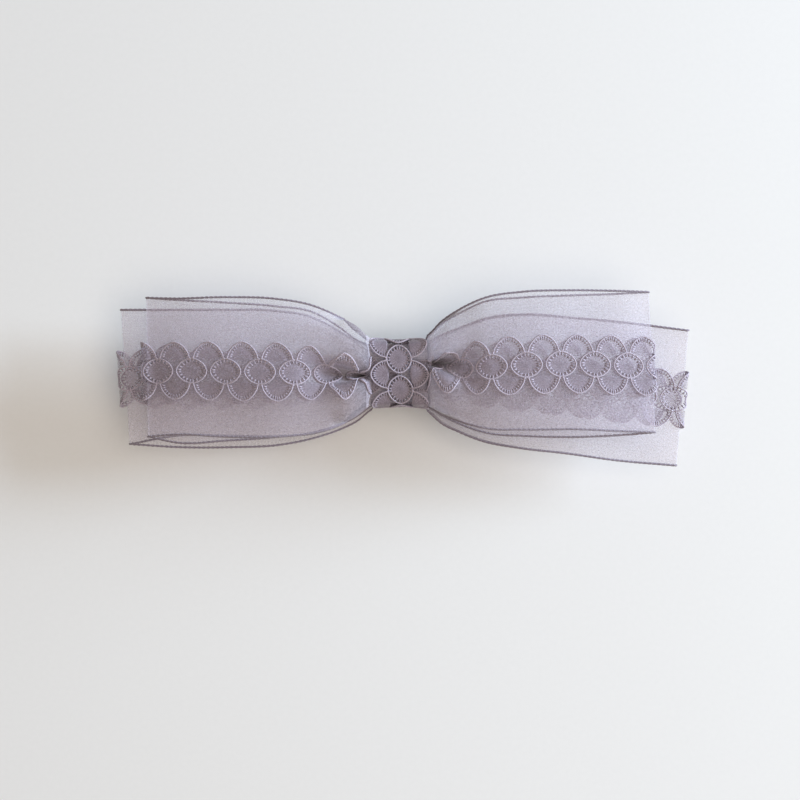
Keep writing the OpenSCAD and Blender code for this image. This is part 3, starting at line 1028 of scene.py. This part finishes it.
@dataclass(frozen=True)
class Knot:
    """The lace strip round the waist, and the thread under it. Heights are over the table.

    worked is the share of the strip that is stitched, the rest being openings; it is not used.
    """

    half: float = 8.2
    low: float = 10.75
    top: float = 21.55
    wide: float = 8.7
    pitch: float = 8.6
    worked: float = 0.8

    def section(self, count: int) -> Array:
        """The strip's outline across the bow: a closed cubic B-spline through listed corners.

        Args:
            count: Points round it.

        Returns:
            Points as distance across the bow and height.
        """
        w = self.wide
        right = [
            (0.0, self.top + 0.05), (0.55 * w, self.top), (0.98 * w, self.top - 1.0),
            (1.08 * w, self.top - 4.2), (w, self.top - 7.6), (0.66 * w, self.low + 0.9),
            (0.42 * w, self.low), (0.0, self.low)]
        corners = np.array(right + [(-y, z) for y, z in right[-2:0:-1]])
        n = len(corners)
        t = np.linspace(0, n, count, endpoint=False)
        k = t.astype(int)
        f = (t - k)[:, None]
        weights = ((1 - f) ** 3, 3 * f**3 - 6 * f**2 + 4, -3 * f**3 + 3 * f**2 + 3 * f + 1, f**3)
        return sum(w_ * corners[(k + i - 1) % n] for i, w_ in enumerate(weights)) / 6

    def cloth(self) -> Cloth:
        """The strip's surface, from the middle of its underside round the bow and back.

        It flares a little towards its two sides, where the loops swell under it.
        """
        outline = self.section(240)
        start = int(np.argmin(outline[:, 1] + 0.01 * np.abs(outline[:, 0])))
        outline = np.roll(outline, -start, axis=0)
        outline = np.concatenate([outline, outline[:1]])
        q = np.linspace(-self.half, self.half, 41)
        mid = np.array([0.0, (self.top + self.low) / 2])
        flare = 1 + 0.05 * (np.abs(q) / self.half) ** 3
        ring = mid + (outline - mid)[:, None, :] * flare[None, :, None]
        x = np.broadcast_to(q, ring.shape[:2])
        return Cloth(np.stack([x, ring[..., 0], ring[..., 1]], axis=-1), 2 * self.half)

    def build(self, place: Place, lace: bpy.types.Material, thread: bpy.types.Material) -> None:
        """The wrap, its stitches and the gathering thread."""
        cloth = self.cloth()
        run, mid = cloth.run, cloth.points[:, 20]
        top = float(run[np.argmax(mid[:, 2])])
        turns = math.floor(cloth.length / self.pitch)
        spots = top - 0.4 + self.pitch * (np.arange(turns) - turns // 2 + 0.5)
        spots = spots[(spots > 4.8) & (spots < cloth.length - 9.0)]
        trim = LaceTrim("knot_lace", "knot_wrap", pad_tone=0.75, pad_dense=0.7)
        wrap = trim.build(cloth, place, lace, spots, stretch=self.pitch / trim.pitch, slant=-0.05)
        self.gathering(place, thread)
        side = np.flatnonzero((mid[:, 1] < 0) & (mid[:, 2] > 14.9))[0]
        self.stitches(cloth, float(run[side]), place, thread)

    def gathering(self, place: Place, thread: bpy.types.Material) -> None:
        """Three turns of thread pulled tight round the ribbons, under the wrap: a helix on the section."""
        ring = self.section(90)
        ring = ring.mean(axis=0) + 0.93 * (ring - ring.mean(axis=0))
        turns = 3
        yz = np.tile(ring, (turns, 1))
        path = np.stack([np.linspace(-1.2, 1.2, len(yz)), yz[:, 0], yz[:, 1]], axis=-1)
        along = unit(np.gradient(path, axis=0))
        out = np.broadcast_to([1.0, 0.0, 0.0], path.shape)
        turned = tube(path, unit(np.cross(out, along)), out, 0.17, 0.9)
        thread_piece("gather_thread_turns", "gather_thread", place, thread, *turned)

    def stitches(self, cloth: Cloth, at: float, place: Place, thread: bpy.types.Material) -> None:
        """Five slanted stitches that close the wrap low on its side, each half a sine over the seam."""
        t = np.linspace(0, 1, 13)
        parts, first = [], 0
        for x in np.linspace(-4.8, 4.8, 5):
            hop = 0.1 + 0.55 * np.sin(math.pi * t)
            flat = np.stack([at - 0.9 + 1.8 * t, x - 0.45 + 0.9 * t, hop], axis=-1)
            path = cloth.place(flat)
            along = unit(np.gradient(path, axis=0))
            up = unit(cloth.sample(cloth.normals, flat[:, 0], flat[:, 1]))
            out = unit(np.cross(along, up))
            points, quads, laid = tube(path, unit(np.cross(out, along)), out, 0.16, 0.8)
            parts.append((points, quads + first, laid))
            first += len(points)
        sewn = (np.concatenate(part) for part in zip(*parts))
        thread_piece("wrap_stitches_thread", "wrap_stitches", place, thread, *sewn)


# ---- bow


@dataclass
class Bow:
    """Both ribbons with their edges and lace, and the knot.

    lace_worked is the share of the lace's flat strip that is stitched, the rest being openings; it is not
    used.
    """

    place: Place
    organza: Organza = Organza("mauve_organza")
    lace: Yarn = Yarn("mauve_lace", (0.17, 0.13, 0.17), (0.62, 0.54, 0.64), sheer=True)
    thread: Yarn = Yarn("binding_thread", (0.11, 0.085, 0.11), (0.38, 0.32, 0.38), turn=0.65)
    lace_width: float = 16.4
    lace_worked: float = 0.75

    def reach(self, node: str, side: Side) -> float:
        """How far a ribbon's solid reaches from the knot, in millimetres."""
        low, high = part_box(node)
        at = high[0] if side is Side.RIGHT else low[0]
        return abs(at - self.place.x) / MM

    def front(self) -> RibbonRing:
        """The front ribbon."""
        top_height = (24.9, 25.9, 26.4, 26.3, 25.7, 24.0, 21.4, 18.65)
        top_drop = (3.4, 4.4, 4.0, 3.2, 2.2, 1.5, 0.8, 0.0)
        top_neck = 20.4
        under_height = (17.4, 17.3, 17.6, 18.6, 19.8, 20.2, 19.3, 17.75)
        under_drop = (0.6, 0.6, 0.6, 0.6, 0.6, 0.6, 0.3, 0.0)
        left = Loop(
            Side.LEFT, self.reach("front_ribbon", Side.LEFT) - 0.5, 0.5,
            Face(
                (9.6, 13.1, 15.6, 18.5, 20.3, 20.8, 20.5, 20.8),
                (-9.0, -12.0, -14.4, -16.4, -17.5, -17.5, -16.9, -17.5),
                top_height, top_drop, top_neck, 0.3),
            Face(
                (7.6, 9.2, 12.9, 16.8, 18.4, 19.4, 20.2, 20.8),
                (-8.8, -11.5, -14.0, -16.4, -17.6, -18.6, -19.2, -17.5),
                under_height, under_drop, 17.4),
            crease_y=-0.5, crease_w=1.3, crease_end=30.0, bulge=1.3)
        right = Loop(
            Side.RIGHT, self.reach("front_ribbon", Side.RIGHT) - 0.6, -1.8,
            Face(
                (10.4, 14.4, 17.6, 20.6, 22.2, 22.7, 22.6, 22.4),
                (-9.4, -11.6, -13.5, -15.2, -15.5, -15.4, -16.0, -16.3),
                top_height, top_drop, top_neck, 0.15),
            Face(
                (9.8, 13.6, 16.6, 19.7, 20.8, 21.4, 21.9, 22.4),
                (-9.4, -11.8, -14.2, -16.5, -17.3, -17.6, -17.0, -16.3),
                under_height, under_drop, 17.4),
            crease_y=2.4, crease_w=1.6, crease_end=23.0, bulge=0.4)
        return RibbonRing("front_organza", left, right, seed=0.4)

    def back(self) -> RibbonRing:
        """The back ribbon."""
        top_height = (15.8, 15.8, 16.1, 16.9, 17.8, 17.6, 16.6, 14.65)
        top_drop = (1.2, 1.4, 1.6, 1.8, 1.8, 1.5, 1.0, 0.0)
        under_height = (14.2, 13.7, 13.3, 13.0, 12.9, 13.0, 13.3, 13.75)
        under_drop = (0.4, 0.2, 0.0, -0.2, -0.3, -0.2, 0.0, 0.0)
        left = Loop(
            Side.LEFT, self.reach("back_ribbon", Side.LEFT) - 1.4, 2.5,
            Face(
                (7.6, 8.8, 11.9, 15.5, 17.3, 17.6, 17.6, 17.6),
                (-9.0, -11.8, -14.4, -16.6, -17.4, -17.3, -17.2, -19.7),
                top_height, top_drop, 15.8),
            Face(
                (7.6, 8.8, 11.9, 15.5, 17.3, 17.6, 17.6, 17.6),
                (-10.0, -13.2, -15.6, -17.9, -19.9, -20.6, -20.6, -19.7),
                under_height, under_drop, 14.2),
            crease_y=0.0, crease_w=2.6, crease_end=32.0)
        right = Loop(
            Side.RIGHT, self.reach("back_ribbon", Side.RIGHT) - 0.9, 3.4,
            Face(
                (8.9, 10.9, 12.8, 15.3, 16.3, 15.3, 14.0, 11.8),
                (-10.4, -13.9, -16.3, -18.9, -20.7, -22.3, -24.2, -25.7),
                top_height, top_drop, 15.8),
            Face(
                (8.7, 10.7, 12.6, 15.0, 16.2, 15.3, 14.0, 11.8),
                (-10.2, -13.6, -16.1, -18.7, -20.7, -22.3, -24.2, -25.7),
                under_height, under_drop, 14.2),
            crease_y=-0.5, crease_w=2.6, crease_end=32.0)
        return RibbonRing("back_organza", left, right, seed=2.3, valley=3.0)

    def build(self) -> None:
        """Makes every soft piece."""
        organza, lace, thread = self.organza.material(), self.lace.material(), self.thread.material()
        for ring, key, spots, offset, left, right in (
            (self.front(), "front", (48.0, 44.4), -1.2, 1.3, 0.6),
            (self.back(), "back", (75.7, 77.1), -0.5, 1.6, 0.8),
        ):
            sheet = ring.build(self.place, organza)
            log.info("%s: %.0f mm of ribbon", sheet.name, ring.cloth.length)
            for side, word in ((1, "upper"), (-1, "lower")):
                BoundEdge(f"{key}_edging_{word}_thread", side).build(ring.cloth, self.place, thread)
            trim = LaceTrim(f"{key}_lace_trim", f"{key}_lace", pitch=9.66)
            slack = ring.slack(left, right)
            trim = trim.build(
                ring.cloth, self.place, lace, ring.repeats(slack[1], trim.pitch, *spots), offset, slack=slack)
        Knot().build(self.place, lace, thread)


# ---- barrette


@dataclass
class Barrette:
    """The steel clip, whose solids stay as they are packed and only get their finishes."""

    plated: Metal = Metal("nickel_plate", (0.66, 0.66, 0.67), 0.3)
    spring: Metal = Metal("spring_temper", (0.42, 0.43, 0.46), 0.38)
    glue: Glue = Glue("set_glue")

    def dress(self) -> None:
        """Gives each node of the barrette its material."""
        plated, spring, glue = self.plated.material(), self.spring.material(), self.glue.material()
        finishes = {
            plated: ("base_plate", "hinge_pin", "bracket_rivets", "clasp_arm"),
            spring: ("latch_bracket", "latch_prong_upper", "latch_prong_lower", "tension_bar"),
            glue: ("glue_beads",),
        }
        for material, nodes in finishes.items():
            for node in nodes:
                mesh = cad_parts[node].data
                mesh.materials.clear()
                mesh.materials.append(material)
                log.info("%s: %s", node, material.name)


# ---- studio


@dataclass
class Studio:
    """Plain floor, soft light from the right and a camera straight above. Lengths in metres."""

    centre: tuple
    height: float = 0.62
    view: float = 0.2222
    level: float = 0.02
    warm: tuple = (1.0, 0.905, 0.805)

    def camera(self) -> None:
        """A camera that looks straight down, its picture view wide at the bow's level."""
        data = bpy.data.cameras.new("camera")
        data.sensor_width = 36.0
        data.lens = data.sensor_width * (self.height - self.level) / self.view
        data.clip_start = 0.01
        camera = bpy.data.objects.new("camera", data)
        camera.location = (self.centre[0], self.centre[1], self.height)
        bpy.context.scene.collection.objects.link(camera)
        bpy.context.scene.camera = camera

    def floor(self) -> None:
        """A pale matt floor."""
        n = Nodes("pale_floor")
        grain = n.noise(None, (700.0, 700.0, 700.0), 4.0)
        board = n.principled(n.ramp(grain, (0.80, 0.80, 0.80), (0.83, 0.83, 0.83)), Roughness=0.9)
        corners = 3.0 * np.array([[-1, -1, 0], [1, -1, 0], [1, 1, 0], [-1, 1, 0]])
        floor = new_piece("floor", corners, np.array([[0, 1, 2, 3]]), n.output(board))

    def lamp(self, name: str, at: tuple, size: float, power: float, colour: tuple) -> None:
        """A square area lamp that faces the bow."""
        data = bpy.data.lights.new(name, "AREA")
        data.size = size
        data.energy = power
        data.color = colour
        lamp = bpy.data.objects.new(name, data)
        lamp.location = at
        x, y, z = at
        lamp.rotation_euler = (math.atan2(math.hypot(x, y), z), 0, math.atan2(-y, -x) - math.pi / 2)
        bpy.context.scene.collection.objects.link(lamp)

    def lights(self) -> None:
        """A cool window from the right, a weak lamp overhead, and warm light from the room."""
        self.lamp("window", (1.34, 0.39, 0.40), 0.5, 36.0, (0.67, 0.83, 1.0))
        self.lamp("ceiling", (0.4, -0.15, 1.2), 1.0, 8.4, self.warm)
        world = bpy.data.worlds.new("room")
        world.use_nodes = True
        room = world.node_tree.nodes["Background"]
        room.inputs["Color"].default_value = (*self.warm, 1)
        room.inputs["Strength"].default_value = 0.27
        scene = bpy.context.scene
        scene.world = world
        scene.view_settings.view_transform = "Standard"
        scene.cycles.transparent_max_bounces = 40

    def build(self) -> None:
        """Camera, floor and lights."""
        self.camera()
        self.floor()
        self.lights()


def main() -> None:
    """Builds the studio, the bow and the barrette."""
    logging.basicConfig(level=logging.INFO, format="%(name)s: %(message)s")
    place = Place.from_frame()
    Studio(centre=(place.x + 0.00014, place.y - 0.0075)).build()
    Bow(place).build()
    Barrette().dress()


if __name__ == "__main__":
    main()
